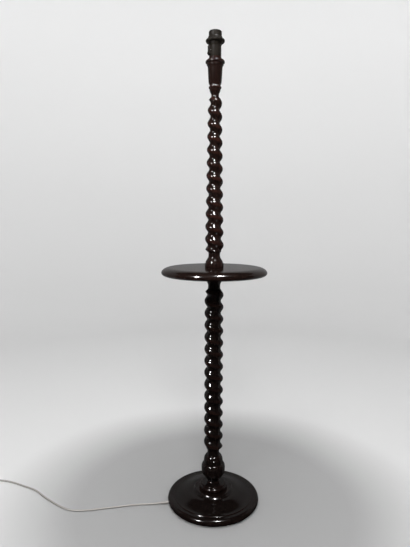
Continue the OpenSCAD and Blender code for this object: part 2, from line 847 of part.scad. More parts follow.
module tube(path, r, sides, side_dir = [0, 0, 1]) {
    count = len(path);
    points = [for (i = [0:count - 1], k = [0:sides - 1])
        let (h = heading(path, i),
             across = unit(cross(side_dir, h)),
             up = cross(h, across),
             angle = 360 * (k + 0.5) / sides)
        path[i] + r * (cos(angle) * across + sin(angle) * up)];
    walls = [for (i = [0:count - 2], k = [0:sides - 1], half = [0:1])
        let (j = (k + 1) % sides, near = i * sides, far = near + sides)
        half == 0 ? [near + k, near + j, far + j] : [near + k, far + j, far + k]];
    polyhedron(points, concat([[for (k = [sides - 1:-1:0]) k]], walls,
                              [[for (k = [0:sides - 1]) (count - 1) * sides + k]]),
               convexity = 10);
}

module mains_cord() {
    color(flex_grey)
        tube(lead_in(route), cord_r, 8);
}

// The coil: turns spiral in on the floor, climb a layer and spiral out again
coil_rings = 24;
half_turns = coil_turns / 2;

function coil_point(t) =
    let (r = coil_r - coil_step * min(t, coil_turns - t),
         climb = min(1, max(0, (t - half_turns) * 2 + 0.5)),
         angle = 90 + 360 * t)
    [coil_at[0] + r * cos(angle), coil_at[1] + r * sin(angle), coil_z + coil_step * climb];

coil_steps = round(coil_turns * coil_rings);
coil_body = [for (i = [0:coil_steps]) coil_point(i / coil_rings)];
coil_start = coil_body[0] + [lead, 0, 0];
coil_end = coil_body[coil_steps] + [0, -lead, 0];
coil_path = concat([coil_start], coil_body, [coil_end]);

// Least distance between centre lines a turn or more apart, less one diameter
coil_gap = min([for (i = [0:coil_steps - 16], j = [i + 16:coil_steps])
    norm(coil_body[i] - coil_body[j])]) - cord_d;
echo(coil_least_gap = coil_gap);

module cord_coil() {
    color(flex_grey)
        tube(coil_path, cord_r, 6);
}

plug_l = 34;
plug_w = 26;
plug_t = 13.6;
pin_gap = 19;
plug_z = plug_t / 2;
plug_at = [coil_end[0], coil_end[1] - 52, plug_z];
relief_l = 22;

module cord_tail() {
    color(flex_grey)
        tube(lead_in([coil_end, coil_end + [0, -lead, 0], coil_end + [0, -13, -0.9],
                      coil_end + [0, -21, -2.8], plug_at + [0, relief_l, 0],
                      plug_at + [0, relief_l - 6, 0]]), cord_r, 8);
}

tie_turn = 0.625;
tie_w = 8;
tie_t = 0.8;

// A band round all the turns at one side of the coil
module coil_tie() {
    outer = coil_r - coil_step * tie_turn + cord_r + 0.3;
    inner = coil_r - coil_step * (floor(half_turns - tie_turn) + tie_turn) - cord_r - 0.3;
    tall = coil_step + cord_d + 0.6;
    color("#3c3c3e")
        translate([coil_at[0], coil_at[1], coil_z - cord_r - 0.3])
            rotate([0, 0, 90 + 360 * tie_turn])
                rotate([90, 0, 0])
                    difference() {
                        translate([inner - tie_t, -tie_t, -tie_w / 2])
                            cube([outer - inner + 2 * tie_t, tall + 2 * tie_t, tie_w]);
                        translate([inner, 0, -tie_w])
                            cube([outer - inner, tall, 2 * tie_w]);
                    }
}

// Flat two-pin plug, lying on the floor beside the coil, pins away from it
module plug_body() {
    color("#1b1a1a")
        translate(plug_at)
            rotate([90, 0, 0])
                difference() {
                    union() {
                        rotate([0, -90, 0])
                            rounded_block(plug_t, plug_w, plug_l, 3);
                        translate([0, 0, -relief_l])
                            cylinder(r1 = cord_r + 0.7, r2 = 5.6, h = relief_l + 1);
                    }
                    translate([0, 0, -relief_l - 1])
                        cylinder(r = cord_r + 0.05, h = 7);
                }
}

module plug_pins() {
    color(brass)
        for (side = [-1, 1])
            translate(plug_at + [side * pin_gap / 2, -plug_l, 0])
                rotate([90, 0, 0]) {
                    cylinder(r = 2, h = 17.5);
                    translate([0, 0, 17.5])
                        cylinder(r1 = 2, r2 = 1, h = 1.5);
                }
}

base_pad();
base_disc();
cord_clip();
clip_screws();
lower_column();
table_top();
upper_column();
candle_cup();
nipple_plate();
plate_screws();
thread_nipple();
riser_flex();
flex_cores();
holder_body();
entry_bush();
grub_screw();
switch_rocker();
rocker_pin();
switch_contacts();
holder_mantle();
shade_ring();
contact_block();
screw_shell();
centre_contact();
terminal_screws();
cord_bush();
mains_cord();
cord_coil();
cord_tail();
coil_tie();
plug_body();
plug_pins();
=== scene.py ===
"""Candlestick floor lamp: its looks, with camera, floor and light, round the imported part.

Lengths are millimetres here, and turn to metres where a mesh or curve is made. +Z is up, and
the viewer stands on the -Y side.
"""

import bmesh
import bpy
from math import asin, cos, pi, radians, sin, tau
from mathutils import Matrix, Vector


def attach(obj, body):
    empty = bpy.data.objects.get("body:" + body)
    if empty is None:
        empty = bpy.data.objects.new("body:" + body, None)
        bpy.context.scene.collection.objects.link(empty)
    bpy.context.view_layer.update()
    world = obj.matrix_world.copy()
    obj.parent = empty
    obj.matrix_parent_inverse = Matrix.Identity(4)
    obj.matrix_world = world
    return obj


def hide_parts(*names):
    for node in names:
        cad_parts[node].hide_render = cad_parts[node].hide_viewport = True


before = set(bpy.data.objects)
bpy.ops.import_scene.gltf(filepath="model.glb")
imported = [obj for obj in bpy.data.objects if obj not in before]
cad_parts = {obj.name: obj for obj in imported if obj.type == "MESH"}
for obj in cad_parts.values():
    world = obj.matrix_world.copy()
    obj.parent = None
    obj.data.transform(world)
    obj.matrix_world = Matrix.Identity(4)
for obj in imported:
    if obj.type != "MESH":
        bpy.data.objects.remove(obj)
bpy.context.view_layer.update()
MM = 0.001

# ---------------------------------------------------------------- sizes, in millimetres
BASE_R = 151
RIM_H = 24
RIM_ROUND = 12
RIM_BAND = 21
RIM_STEP = 2
BASE_MID_H = 47
PAD_T = 1.5
HOLLOW_R = 26
HOLLOW_TOP = 24
FOOT_TENON_R = 15

FOOT_R = 46.5
VASE_R = 39
SHOULDER_R = 31.2
LOWER_NECK_R = 19.4
LOWER_RIDGE = (31.2, 30.4)
LOWER_ORIGIN = 44

RING_R = 29.7
UPPER_NECK_R = 18.4
SLIM_NECK_R = 11.8
UPPER_RIDGE = (30, 21.4)
UPPER_ORIGIN = 22
BEAD_R = 19.5
WIRE_R = 5.5
TABLE_TENON_R = 12
CUP_TENON_R = 9
FIT = 0.1

TWIST_PITCH = 39.3
TWIST_DEPTH = 8.4
HOLLOW_POWER = 1.2
TWIST_SIDES = 108
TWIST_ROWS = 36
# the band at the twist's ridge that takes the rubbed tone: rubbed polish and painted sheen
RUBBED_SHEEN_DEPTH = 1.6

TABLE_R = 168
TABLE_T = 27
TABLE_Z = 760
TABLE_ROUND = 30
TABLE_UNDER = 17
UPPER_Z = TABLE_Z + TABLE_T
CUP_Z = 1343
CUP_H = 81
CUP_R = 22.2
CUP_FOOT_R = 19.8
COLLAR_R = 29.2
HOLDER_Z = CUP_Z + CUP_H
NIPPLE_R = 5
NIPPLE_IN = 22
PLATE_R = 15.2
PLATE_T = 1.5

BODY_R = 18.2
BODY_WALL = 4.2
LEDGE_R = BODY_R + 0.7
MANTLE_R = 20
MANTLE_Z = HOLDER_Z + 38
HOLDER_TOP = MANTLE_Z + 37
BLOCK_Z = MANTLE_Z - 2
BLOCK_R = 14.9
SPIGOT_H = 8
SKIRT_BORE_R = 17.8
LIP_R = 21.2
THREAD_Z = MANTLE_Z + 1.2
RING_H = 20.3
COLLAR_Z = THREAD_Z + RING_H + 1
SHADE_RING_R = 28.8
SHELL_R = 13.3
SHELL_T = 0.6
SHELL_Z = MANTLE_Z + 13.6
SHELL_H = 20

SWITCH_SIDE = 200
SWITCH_Z = HOLDER_Z + 19
SWITCH_W = 13
SWITCH_H = 29
SWITCH_X = BODY_R + 4.2
ROCKER_H = 22
ROCKER_W = 7
ROCKER_TILT = 6
PIN_X = BODY_R - 1.2

CORD_R = 3
CORD_SIDE = 190
EXIT_Z = 6.5
BUSH_R = 4.6
BUSH_IN = 14
BUSH_OUT = 24
BEND_R = 16
CLIP_X = HOLLOW_R + 16

# ---------------------------------------------------------------- camera and paper

EYE = (-0.0292, -1.441, 0.928)
LOOK_DOWN = 6.4
ROLL = 0.15
FOCAL_PX = 455
FRAME_PX = 547
SENSOR = 36

# the paper's greys, from under the lamp (0) to the top of the wall (1): painted shade under the lamp and
# painted light towards the top of the wall
PAPER_SHADE_AND_LIGHT = [(0.0, "#949494"), (0.052, "#949494"), (0.088, "#c6c6c6"), (0.42, "#cccccc"),
         (0.61, "#d6d6d6"), (0.75, "#e2e2e2"), (0.9, "#f4f4f4")]


# ---------------------------------------------------------------- outlines and skins

def mix(a, b, t):
    """The value a share t of the way from a to b."""
    return a + (b - a) * t


def ease(t):
    """A share from 0 to 1 that starts and ends gently."""
    return (1 - cos(pi * t)) / 2


def arc(r, z, a, b, start, end, n=12):
    """Part of an ellipse round (r, z), as (radius, height) points."""
    turns = [radians(mix(start, end, i / n)) for i in range(n + 1)]
    return [(r + a * cos(t), z + b * sin(t)) for t in turns]


def ogee(r0, z0, r1, z1, n=16, lean=1.0):
    """An S-curve that is upright at both ends; lean above 1 makes it turn out later."""
    return [(mix(r0, r1, ease((i / n) ** lean)), mix(z0, z1, i / n)) for i in range(n + 1)]


def flare(r0, z0, r1, z1, n=18):
    """A bell mouth: upright at the bottom and ever wider towards the top."""
    return [(mix(r0, r1, (i / n) ** 1.75), mix(z0, z1, i / n)) for i in range(n + 1)]


def quirk(r, z, deep=1.2):
    """A turned line: a groove whose lower side slopes more gently than its upper side."""
    return [(r, z - deep), (r - deep, z), (r, z + deep / 2)]


def dome(r0, z0, r1, z1, n=28):
    """An S-curve that is level at both ends."""
    return [(mix(r0, r1, i / n), mix(z0, z1, ease(i / n))) for i in range(n + 1)]


def turned(outline, sides=144):
    """Rows of points round the Z axis, one for each (radius, height) of the outline."""
    return [[(r * cos(tau * i / sides), r * sin(tau * i / sides), z) for i in range(sides)]
            for r, z in outline]


def rubbed_and_sheen(outline):
    """How far cloths and hands rub the polish thin, and how much painted sheen a bulge takes: 1 on a
    tight bulge, 0 in the flat.
    """
    amounts = [0.0]
    for (r0, z0), (r1, z1), (r2, z2) in zip(outline, outline[1:], outline[2:]):
        a, b = Vector((r1 - r0, z1 - z0)), Vector((r2 - r1, z2 - z1))
        if a.length * b.length < 1e-9:
            amounts.append(amounts[-1])
            continue
        turn = asin(max(-1, min(1, (a.x * b.y - a.y * b.x) / (a.length * b.length))))
        amounts.append(max(0, min(1, 8 * turn / (a.length + b.length))))
    return amounts + [0.0]


def skin(name, rows, hollow=False, place=None, wear_and_sheen=None):
    """A closed skin over rows of points: capped at both ends, or with the last row joined to the first
    for a piece with a bore. The amounts of rubbed polish and painted sheen, if given, hold one for each
    point."""
    sides = len(rows[0])
    spans = [(k, (k + 1) % len(rows)) for k in range(len(rows) - (0 if hollow else 1))]
    faces = [[low * sides + i, low * sides + (i + 1) % sides,
              high * sides + (i + 1) % sides, high * sides + i]
             for low, high in spans for i in range(sides)]
    if not hollow:
        faces.append(list(range(sides))[::-1])
        faces.append([(len(rows) - 1) * sides + i for i in range(sides)])
    mesh = bpy.data.meshes.new(name)
    mesh.from_pydata([[c * MM for c in point] for row in rows for point in row], [], faces)
    if place:
        mesh.transform(Matrix.LocRotScale(place.to_translation() * MM, place.to_3x3().to_quaternion(),
                                          None))
    # each point's amount of rubbed polish and painted sheen, for the polish to read
    if wear_and_sheen:
        mesh.attributes.new("rubbed_and_sheen", "FLOAT", "POINT").data.foreach_set("value", wear_and_sheen)
    outward(mesh)
    return mesh


def outward(mesh):
    """Turns every face of a closed skin to look outwards."""
    faces = bmesh.new()
    faces.from_mesh(mesh)
    bmesh.ops.recalc_face_normals(faces, faces=faces.faces)
    faces.to_mesh(mesh)
    faces.free()


def turned_skin(name, outline, sides=144, place=None):
    wear_and_sheen = [amount for amount in rubbed_and_sheen(outline) for _ in range(sides)]
    return skin(name, turned(outline, sides), True, place, wear_and_sheen)


def piece(name, mesh, finish, body, nodes, sharp=38):
    """Adds a mesh as a piece that rides on a body and stands for CAD nodes."""
    made = bpy.data.objects.new(name, mesh)
    bpy.context.scene.collection.objects.link(made)
    mesh.materials.clear()
    mesh.materials.append(finish)
    mesh.shade_smooth()
    mesh.set_sharp_from_angle(angle=radians(sharp))
    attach(made, body)
    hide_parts(*nodes.split())
    return made


def cut(mesh, tools, kind="DIFFERENCE"):
    """The mesh with each tool's mesh cut away from it, or joined to it."""
    scene = bpy.context.scene
    blank = bpy.data.objects.new("blank", mesh)
    scene.collection.objects.link(blank)
    used = []
    for tool_mesh in tools:
        tool = bpy.data.objects.new("tool", tool_mesh)
        scene.collection.objects.link(tool)
        step = blank.modifiers.new("cut", "BOOLEAN")
        step.operation = kind
        step.solver = "EXACT"
        step.object = tool
        used.append(tool)
    done = bpy.data.meshes.new_from_object(blank.evaluated_get(bpy.context.evaluated_depsgraph_get()))
    done.name = mesh.name
    for gone in [blank] + used:
        bpy.data.objects.remove(gone)
    outward(done)
    return done


def turn_z(degrees):
    """A turn round the lamp's axis."""
    return Matrix.Rotation(radians(degrees), 4, "Z")


def along_x(x, y, z):
    """Places a piece that was turned round Z so that it lies along X from a point."""
    return Matrix.Translation((x, y, z)) @ Matrix.Rotation(pi / 2, 4, "Y")


def rod(r, z0, z1, place=None, sides=32):
    """A round bar between two heights."""
    return skin("rod", turned([(r, z0), (r, z1)], sides), place=place)


def prism(profile, x0, x1, place=None):
    """A bar along X whose end is a profile of (y, z) points."""
    return skin("prism", [[(x, y, z) for y, z in profile] for x in (x0, x1)], place=place)


def block(x0, x1, half_y, z0, z1, place=None):
    """A square bar along X, as wide on one side of the axis as on the other."""
    return prism([(-half_y, z0), (half_y, z0), (half_y, z1), (-half_y, z1)], x0, x1, place)


# ---------------------------------------------------------------- materials

def srgb(text):
    """An sRGB hex colour as linear values."""
    parts = [int(text[i:i + 2], 16) / 255 for i in (1, 3, 5)]
    return [c / 12.92 if c <= 0.04045 else ((c + 0.055) / 1.055) ** 2.4 for c in parts] + [1]


def material(name, **values):
    """A new node material and its shader, with the shader's plain values set."""
    made = bpy.data.materials.new(name)
    made.use_nodes = True
    shader = made.node_tree.nodes["Principled BSDF"]
    for key, value in values.items():
        shader.inputs[key.replace("_", " ")].default_value = value
    return made, made.node_tree, shader


def add(tree, kind, settings=None, **links):
    """Adds a node. settings name its properties or sockets; links name sockets to join."""
    node = tree.nodes.new(kind)
    for key, value in (settings or {}).items():
        if hasattr(node, key):
            setattr(node, key, value)
        else:
            node.inputs[int(key) if key.isdigit() else key].default_value = value
    for key, source in links.items():
        key = key.replace("_", " ")
        tree.links.new(source, node.inputs[int(key[1:]) if key[0] == "i" and key[1:].isdigit() else key])
    return node


def ramp(tree, source, stops):
    """A colour ramp from (place, colour) stops; a plain number is a grey."""
    node = add(tree, "ShaderNodeValToRGB", Fac=source)
    while len(node.color_ramp.elements) < len(stops):
        node.color_ramp.elements.new(0.5)
    for element, (place, colour) in zip(node.color_ramp.elements, stops):
        element.position = place
        element.color = srgb(colour) if isinstance(colour, str) else [colour] * 3 + [1]
    return node.outputs["Color"]


def grit(tree, across, along=None, axis=2, detail=4.0, swirl=0.0):
    """Noise with grains of a size in millimetres, drawn out along one axis if asked."""
    place = add(tree, "ShaderNodeTexCoord").outputs["Object"]
    scale = [1 / (across * MM)] * 3
    if along:
        scale[axis] = 1 / (along * MM)
    spread = add(tree, "ShaderNodeMapping", {"Scale": scale}, Vector=place).outputs[0]
    return add(tree, "ShaderNodeTexNoise", {"Scale": 1.0, "Detail": detail, "Distortion": swirl},
               Vector=spread).outputs["Fac"]


def bump(tree, height, depth_mm, strength):
    """A normal that a height pattern of a depth in millimetres gives."""
    return add(tree, "ShaderNodeBump", {"Strength": strength, "Distance": depth_mm * MM},
               Height=height).outputs[0]


def polished_wood(name, dark, light, rubbed_sheen_tone, axis, gloss):
    """Mahogany stained near black and French polished: a deep, clear, slightly rippled gloss over brown
    figure that only shows where light falls on it, redder on tight bulges and ridges, partly where the
    polish is rubbed thin and partly as painted sheen."""
    made, tree, shader = material(name, IOR=1.5, Specular_IOR_Level=0.0, Coat_Weight=gloss,
                                  Coat_Roughness=0.14, Coat_IOR=1.5)
    figure = grit(tree, 7, 150, axis, 5.0, 0.8)
    # pores are under 1 mm wide on the real wood, and drawn 2.5 mm wide so that they show
    pores = grit(tree, 2.5, 38, axis, 3.0)
    stain = ramp(tree, figure, [(0.3, dark), (0.56, light), (0.72, dark)])
    pored = add(tree, "ShaderNodeMix", {"data_type": "RGBA", "blend_type": "MULTIPLY", "0": 0.6},
                i6=stain, i7=ramp(tree, pores, [(0.36, 0.35), (0.52, 1.0)])).outputs[2]
    # how much of the rubbed tone shows: rubbed polish and painted sheen on bulges and ridges, varied in
    # clouds
    thin = add(tree, "ShaderNodeMath", {"operation": "MULTIPLY"},
               i0=add(tree, "ShaderNodeAttribute", {"attribute_name": "rubbed_and_sheen"}).outputs["Fac"],
               i1=ramp(tree, grit(tree, 30), [(0.35, 0.1), (0.65, 0.7)])).outputs[0]
    colour = add(tree, "ShaderNodeMix", {"data_type": "RGBA", "7": srgb(rubbed_sheen_tone)},
                 i0=thin, i6=pored).outputs[2]
    tree.links.new(colour, shader.inputs["Base Color"])
    tree.links.new(ramp(tree, figure, [(0.3, 0.38), (0.7, 0.55)]), shader.inputs["Roughness"])
    ripple = bump(tree, grit(tree, 16, detail=2.0), 0.25, 0.12)
    tree.links.new(ripple, shader.inputs["Normal"])
    tree.links.new(ripple, shader.inputs["Coat Normal"])
    return made


def moulded_phenolic(name, dark, light, rough):
    """Phenolic, moulded brown-black: faintly mottled, its gloss worn to an even half shine."""
    made, tree, shader = material(name, IOR=1.58, Specular_IOR_Level=0.014)
    mottle = grit(tree, 5, detail=6.0, swirl=1.2)
    tree.links.new(ramp(tree, mottle, [(0.36, dark), (0.68, light)]), shader.inputs["Base Color"])
    tree.links.new(ramp(tree, mottle, [(0.3, rough), (0.8, rough + 0.12)]),
                   shader.inputs["Roughness"])
    tree.links.new(bump(tree, grit(tree, 1.2), 0.1, 0.08), shader.inputs["Normal"])
    return made


def worked_metal(name, bright, dull, rough, scratch):
    """Turned, rolled or plated metal: fine scratches round it and a thin tarnish in clouds."""
    made, tree, shader = material(name, Metallic=1.0)
    tree.links.new(ramp(tree, grit(tree, 9), [(0.35, bright), (0.75, dull)]),
                   shader.inputs["Base Color"])
    tree.links.new(ramp(tree, grit(tree, 6, scratch, 2), [(0.3, rough), (0.7, rough + 0.2)]),
                   shader.inputs["Roughness"])
    return made


def soft_sheath(name, dark, light, rough, tooth, depth=0.12):
    """Extruded, moulded or felted: dull, with a fine even tooth."""
    made, tree, shader = material(name, Roughness=rough)
    grain = grit(tree, tooth, detail=5.0)
    tree.links.new(ramp(tree, grain, [(0.35, dark), (0.65, light)]), shader.inputs["Base Color"])
    tree.links.new(bump(tree, grain, depth, 0.3), shader.inputs["Normal"])
    return made


# One polish in three copies: a darker one on the lower column and base is painted shade, a lighter one
# on the table and the lightest on the upper column and cup are painted light. The third colour of each
# is the rubbed tone, which also paints sheen on the bulges.
SHADED_LOWER_WOOD = polished_wood("french_polished_mahogany_shaded_low", "#060404", "#110c0a", "#1b0f0c", 2, 0.22)
LIT_UPPER_WOOD = polished_wood("french_polished_mahogany_lit_upper", "#0d0807", "#1f1411", "#2f1914", 2, 0.2)
LIT_TABLE_WOOD = polished_wood("french_polished_mahogany_lit_table", "#0a0605", "#1a110e", "#1c0f0c", 0, 0.36)
PHENOLIC = moulded_phenolic("moulded_phenolic", "#171411", "#221e1a", 0.4)
SWITCH_PHENOLIC = moulded_phenolic("switch_phenolic", "#100e0c", "#1b1815", 0.34)
BRASS = worked_metal("turned_brass", "#c9a35a", "#8f6c34", 0.22, 0.4)
ZINC = worked_metal("zinc_plated_steel", "#a9abad", "#7d8083", 0.3, 0.4)
STEATITE = soft_sheath("steatite", "#cfc8b8", "#ddd7c9", 0.55, 0.8)
BAIZE = soft_sheath("green_baize", "#1e2a1c", "#334630", 0.95, 0.5, 0.4)
FLEX_PVC = soft_sheath("extruded_flex_pvc", "#75716d", "#84807b", 0.55, 1.0)
CORE_PVC = soft_sheath("core_pvc", "#274a86", "#34609f", 0.45, 1.0)
PLUG_RUBBER = soft_sheath("moulded_rubber", "#141414", "#222222", 0.6, 0.8)
TIE_WEBBING = soft_sheath("tie_webbing", "#1d1d1f", "#2c2c2f", 0.7, 0.5, 0.3)

for finish, names in ((BRASS, "nipple_plate plate_screws thread_nipple entry_bush switch_contacts"
                              " centre_contact plug_pins"),
                      (ZINC, "cord_clip clip_screws grub_screw rocker_pin terminal_screws"),
                      (STEATITE, "contact_block")):
    for node_name in names.split():
        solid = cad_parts[node_name].data
        solid.materials.clear()
        solid.materials.append(finish)


# ---------------------------------------------------------------- flex

TURN_OUT = turn_z(CORD_SIDE)
EXIT_DIR = TURN_OUT @ Vector((1, 0, 0))
UP = Vector((0, 0, 1))
FLOOR_Z = CORD_R + 0.05
COIL_Z = CORD_R + 1.1
COIL_AT = (-818, 62)
COIL_R = 44.5
COIL_STEP = 6.7
COIL_TURNS = 6.25
PLUG_T = 13.6

# the way over the floor, as in the part's source
ROUTE = [(-206, -32.5, 4.2), (-232, -33, FLOOR_Z), (-256, -35.5, FLOOR_Z), (-282, -40, FLOOR_Z),
         (-309, -46, FLOOR_Z), (-335, -51, FLOOR_Z), (-360, -56, FLOOR_Z), (-384, -61, FLOOR_Z),
         (-408, -65, FLOOR_Z), (-432, -67, FLOOR_Z), (-454, -66, FLOOR_Z), (-476, -60, FLOOR_Z),
         (-498, -48, FLOOR_Z), (-519, -34, FLOOR_Z), (-540, -18, FLOOR_Z), (-560, -3, FLOOR_Z),
         (-580, 14, FLOOR_Z), (-600, 32, FLOOR_Z), (-620, 47, FLOOR_Z), (-641, 58, FLOOR_Z),
         (-665, 69, FLOOR_Z), (-690, 81, FLOOR_Z), (-715, 92, FLOOR_Z), (-740, 100, FLOOR_Z),
         (-765, 105, FLOOR_Z), (-786, 106.5, 3.4), (-806, 106.5, COIL_Z)]


def smooth(points, n=4):
    """Points on smooth curves through the given ones."""
    out = []
    for i in range(len(points) - 1):
        a, b = points[max(0, i - 1)], points[i]
        c, d = points[i + 1], points[min(len(points) - 1, i + 2)]
        for k in range(n):
            t = k / n
            out.append(0.5 * (2 * b + (c - a) * t + (2 * a - 5 * b + 4 * c - d) * t * t
                              + (3 * b - a - 3 * c + d) * t ** 3))
    return out + [points[-1]]


def lead(name, path, r, finish, nodes):
    """A round lead along a path of points."""
    curve = bpy.data.curves.new(name, "CURVE")
    curve.dimensions = "3D"
    curve.bevel_depth = r * MM
    curve.bevel_resolution = 4
    curve.use_fill_caps = True
    spline = curve.splines.new("POLY")
    spline.points.add(len(path) - 1)
    for point, place in zip(spline.points, path):
        point.co = (*(place * MM), 1)
    curve.materials.append(finish)
    made = bpy.data.objects.new(name, curve)
    bpy.context.scene.collection.objects.link(made)
    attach(made, "lamp")
    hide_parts(*nodes.split())
    return made


def coil_point(t):
    """A point of the coil after t turns: inwards in a lower layer, then outwards in one above."""
    r = COIL_R - COIL_STEP * min(t, COIL_TURNS - t)
    climb = min(1, max(0, (t - COIL_TURNS / 2) * 2 + 0.5))
    angle = radians(90 + 360 * t)
    return Vector((COIL_AT[0] + r * cos(angle), COIL_AT[1] + r * sin(angle),
                   COIL_Z + COIL_STEP * climb))


COIL_END = coil_point(COIL_TURNS) - Vector((0, 2 * CORD_R, 0))
PLUG_AT = Vector((COIL_END.x, COIL_END.y - 52, PLUG_T / 2))


def flex(plug, tie):
    """The flex over the floor, wound into its coil, and its tail to the plug."""
    start = EXIT_DIR * (BASE_R - 1.5) + EXIT_Z * UP
    tip = EXIT_DIR * (BASE_R + BUSH_OUT) + EXIT_Z * UP
    steps = round(COIL_TURNS * 36)
    coil = [coil_point(i * COIL_TURNS / steps) for i in range(steps + 1)]
    free = smooth([start, start.lerp(tip, 0.5), tip, tip + EXIT_DIR * 6]
                  + [Vector(p) for p in ROUTE] + [coil[0] + Vector((2 * CORD_R, 0, 0))])
    tail = smooth([COIL_END, COIL_END + Vector((0, -6, 0)), COIL_END + Vector((0, -13, -0.9)),
                   COIL_END + Vector((0, -21, -2.8)), PLUG_AT + Vector((0, 22, 0)),
                   PLUG_AT + Vector((0, 16, 0))])
    path = free + coil + tail
    made = lead("flex_lead", path, CORD_R, FLEX_PVC, "mains_cord cord_coil cord_tail")


def inner_leads():
    """The flex inside the lamp, from the bush up the bore, and its two cores."""
    bend = [EXIT_DIR * (BEND_R - BEND_R * sin(a)) + UP * (EXIT_Z + BEND_R - BEND_R * cos(a))
            for a in [radians(7.5 * i) for i in range(13)]]
    top = HOLDER_Z + 12
    riser = [EXIT_DIR * (BASE_R - 1.6) + EXIT_Z * UP] + bend + [top * UP]
    lead("riser_lead", riser, CORD_R, FLEX_PVC, "riser_flex")
    for side, mark in ((-1, "a"), (1, "b")):
        core = smooth([Vector((side * x, 0, z)) for x, z in (
            (1.6, top), (1.6, top + 2), (3.2, top + 8), (5.5, BLOCK_Z - 9), (7, BLOCK_Z - 2),
            (7, BLOCK_Z + 0.2))])
        lead("core_lead_" + mark, core, 1.2, CORE_PVC, "flex_cores")


def ringed(r0, x0, r1, x1, rings, depth):
    """A taper with shallow grooves round it, so that it bends evenly with the flex."""
    n = rings * 10
    return [(mix(r0, r1, i / n) - depth * max(0, sin(tau * rings * (i / n) - pi / 2)) ** 2,
             mix(x0, x1, i / n)) for i in range(n + 1)]


def cord_bush():
    """The tapered bush where the flex leaves the base."""
    tip = BASE_R + BUSH_OUT
    outline = [(CORD_R + 0.05, BASE_R - BUSH_IN), (BUSH_R, BASE_R - BUSH_IN), (BUSH_R, BASE_R + 2)]
    outline += ringed(BUSH_R, BASE_R + 2.5, CORD_R + 1, tip - 2, 5, 0.45)
    outline += arc(CORD_R + 0.3, tip - 0.7, 0.6, 0.7, 0, 90, 5) + [(CORD_R + 0.05, tip)]
    piece("cord_bush_moulded",
          turned_skin("cord_bush", outline, 48, TURN_OUT @ along_x(0, 0, EXIT_Z)),
          FLEX_PVC, "lamp", "cord_bush")


def plug_section(half_w, half_t, power, y, sides=72):
    """One rounded outline across the plug, from a circle (power 2) to a soft rectangle."""
    row = []
    for i in range(sides):
        c, s = cos(tau * i / sides), sin(tau * i / sides)
        size = (abs(c) ** power + abs(s) ** power) ** (-1 / power)
        row.append((PLUG_AT.x + half_w * c * size, PLUG_AT.y + y, PLUG_AT.z + half_t * s * size))
    return row


def plug_body():
    """Flat two-pin plug with finger grooves in its sides, tapering into the flex."""
    bore_r = CORD_R + 0.05
    rows = [plug_section(bore_r, bore_r, 2, y) for y in (16, 22)]
    rows += [plug_section(r, r, 2, y) for r, y in ringed(CORD_R + 0.7, 22, 5.4, 1.5, 5, 0.4)]
    rows += [plug_section(mix(5.4, 12.6, t), mix(5.4, 6.6, t), mix(2, 4, t), y)
             for t, y in ((0.35, 0.6), (0.75, 0), (0.93, -0.7), (1, -1.8))]
    for i in range(41):
        y = mix(-2.4, -32.6, i / 40)
        groove = 0.55 * max(0, sin(tau * (y + 8) / -3.6)) ** 2 if -26 < y < -8 else 0
        rows.append(plug_section(13 - groove, 6.8, 4.5, y))
    rows += [plug_section(12.8, 6.6, 4.3, -33.5), plug_section(12.3, 6.1, 4, -34)]
    return piece("plug_moulded", skin("plug", rows), PLUG_RUBBER, "lamp", "plug_body",
                 50)


def coil_tie():
    """A webbing band round all the turns at one side of the coil, its end lapped over itself."""
    turn = 0.625
    outer = COIL_R - COIL_STEP * turn + CORD_R + 0.7
    inner = COIL_R - COIL_STEP * (2 + turn) - CORD_R - 0.7
    low, high = -0.4, COIL_STEP + 2 * CORD_R + 1
    corner = 3.2
    path = []
    for r, z, start in ((outer - corner, low + corner, -90), (outer - corner, high - corner, 0),
                        (inner + corner, high - corner, 90), (inner + corner, low + corner, 180)):
        path += arc(r, z, corner, corner, start, start + 90, 6)
    # the lapped end starts on top of the turns and lies one thickness further out
    path = path[7:] + path[:7] + [(mix(outer - corner, inner + corner, t), high) for t in (0, 0.5)]
    rows = []
    for i, (r, z) in enumerate(path):
        r0, z0 = path[max(0, i - 1)]
        r1, z1 = path[min(len(path) - 1, i + 1)]
        out = Vector((z1 - z0, r0 - r1)).normalized()
        lift = 0.85 * max(0, i - len(path) + 4) / 3 if i > len(path) - 4 else 0
        rows.append([(r + out.x * (t + lift), -w, z + out.y * (t + lift))
                     for t, w in ((-0.4, -3.8), (0, -4), (0.4, -3.8), (0.4, 3.8), (0, 4),
                                  (-0.4, 3.8))])
    place = Matrix.Translation((*COIL_AT, COIL_Z - CORD_R)) @ turn_z(90 + 360 * turn)
    return piece("coil_tie_band", skin("coil_tie", rows, place=place), TIE_WEBBING, "lamp",
                 "coil_tie")


# ---------------------------------------------------------------- columns

def hollow(phase):
    """How deep the twist is at a phase: 0 on the ridge and 1 in the bottom of the hollow."""
    return ((1 - cos(tau * phase)) / 2) ** HOLLOW_POWER


